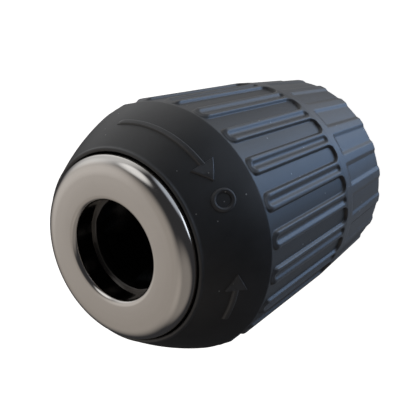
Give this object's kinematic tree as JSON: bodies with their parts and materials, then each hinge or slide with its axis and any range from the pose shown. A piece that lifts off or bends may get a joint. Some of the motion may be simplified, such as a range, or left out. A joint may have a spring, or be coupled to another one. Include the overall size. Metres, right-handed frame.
{
  "type": "drill chuck",
  "caption": "Keyless drill chuck with a ribbed grip sleeve, chrome nose ring, split nut on a ball thrust bearing, sliding toothed jaws and a threaded spindle socket.",
  "frame": {"origin": "centre of the flat rear face of the hub, where the spindle shoulder seats", "axes": "+Z along the chuck axis towards the nose, +X and +Y across it; one jaw lies at 30 degrees from +X"},
  "size_m": [0.044, 0.044, 0.057],
  "materials": {
    "sleeve_plastic": "fine satin moulded black",
    "nose_chrome": "satin chrome plate",
    "body_steel": "turned and ground steel",
    "jaw_steel": "hardened and ground steel",
    "nut_steel": "turned steel, lightly oiled",
    "spring_steel": "black oxide",
    "bearing_steel": "polished bearing steel",
    "glide_plastic": "natural nylon"
  },
  "bodies": {
    "chuck": {"chuck_body": "body_steel", "nose_ring": "nose_chrome", "sleeve_washer": "glide_plastic", "ratchet_race": "bearing_steel", "rear_cover": "spring_steel", "snap_ring": "spring_steel"},
    "sleeve": {"grip_sleeve": "sleeve_plastic", "drive_insert": "spring_steel", "nut_half_a": "nut_steel", "nut_half_b": "nut_steel", "nut_band": "spring_steel", "pawl_spring": "spring_steel", "nut_washer": "bearing_steel"},
    "bearing": {"ball_cage": "glide_plastic", "bearing_balls": "bearing_steel"},
    "jaw_a": {"jaw_1": "jaw_steel"},
    "jaw_b": {"jaw_2": "jaw_steel"},
    "jaw_c": {"jaw_3": "jaw_steel"}
  },
  "joints": [
    {"name": "sleeve_turn", "type": "hinge", "parent": "chuck", "child": "sleeve", "pos_m": [0, 0, 0.036], "axis": [0, 0, -1], "range_deg": [0, 4500]},
    {"name": "bearing_turn", "type": "hinge", "parent": "chuck", "child": "bearing", "pos_m": [0, 0, 0.031], "axis": [0, 0, -1], "range_deg": [0, 2250]},
    {"name": "jaw_a_slide", "type": "slide", "parent": "chuck", "child": "jaw_a", "axis": [-0.2387, -0.1378, 0.9613], "range_m": [0, 0.02]},
    {"name": "jaw_b_slide", "type": "slide", "parent": "chuck", "child": "jaw_b", "axis": [0.2387, -0.1378, 0.9613], "range_m": [0, 0.02]},
    {"name": "jaw_c_slide", "type": "slide", "parent": "chuck", "child": "jaw_c", "axis": [0, 0.2756, 0.9613], "range_m": [0, 0.02]}
  ],
  "couplings": [
    {"joint": "bearing_turn", "follows": "sleeve_turn", "ratio": 0.5},
    {"joint": "jaw_a_slide", "follows": "sleeve_turn", "m_per_rad": 0.00025464},
    {"joint": "jaw_b_slide", "follows": "sleeve_turn", "m_per_rad": 0.00025464},
    {"joint": "jaw_c_slide", "follows": "sleeve_turn", "m_per_rad": 0.00025464}
  ]
}
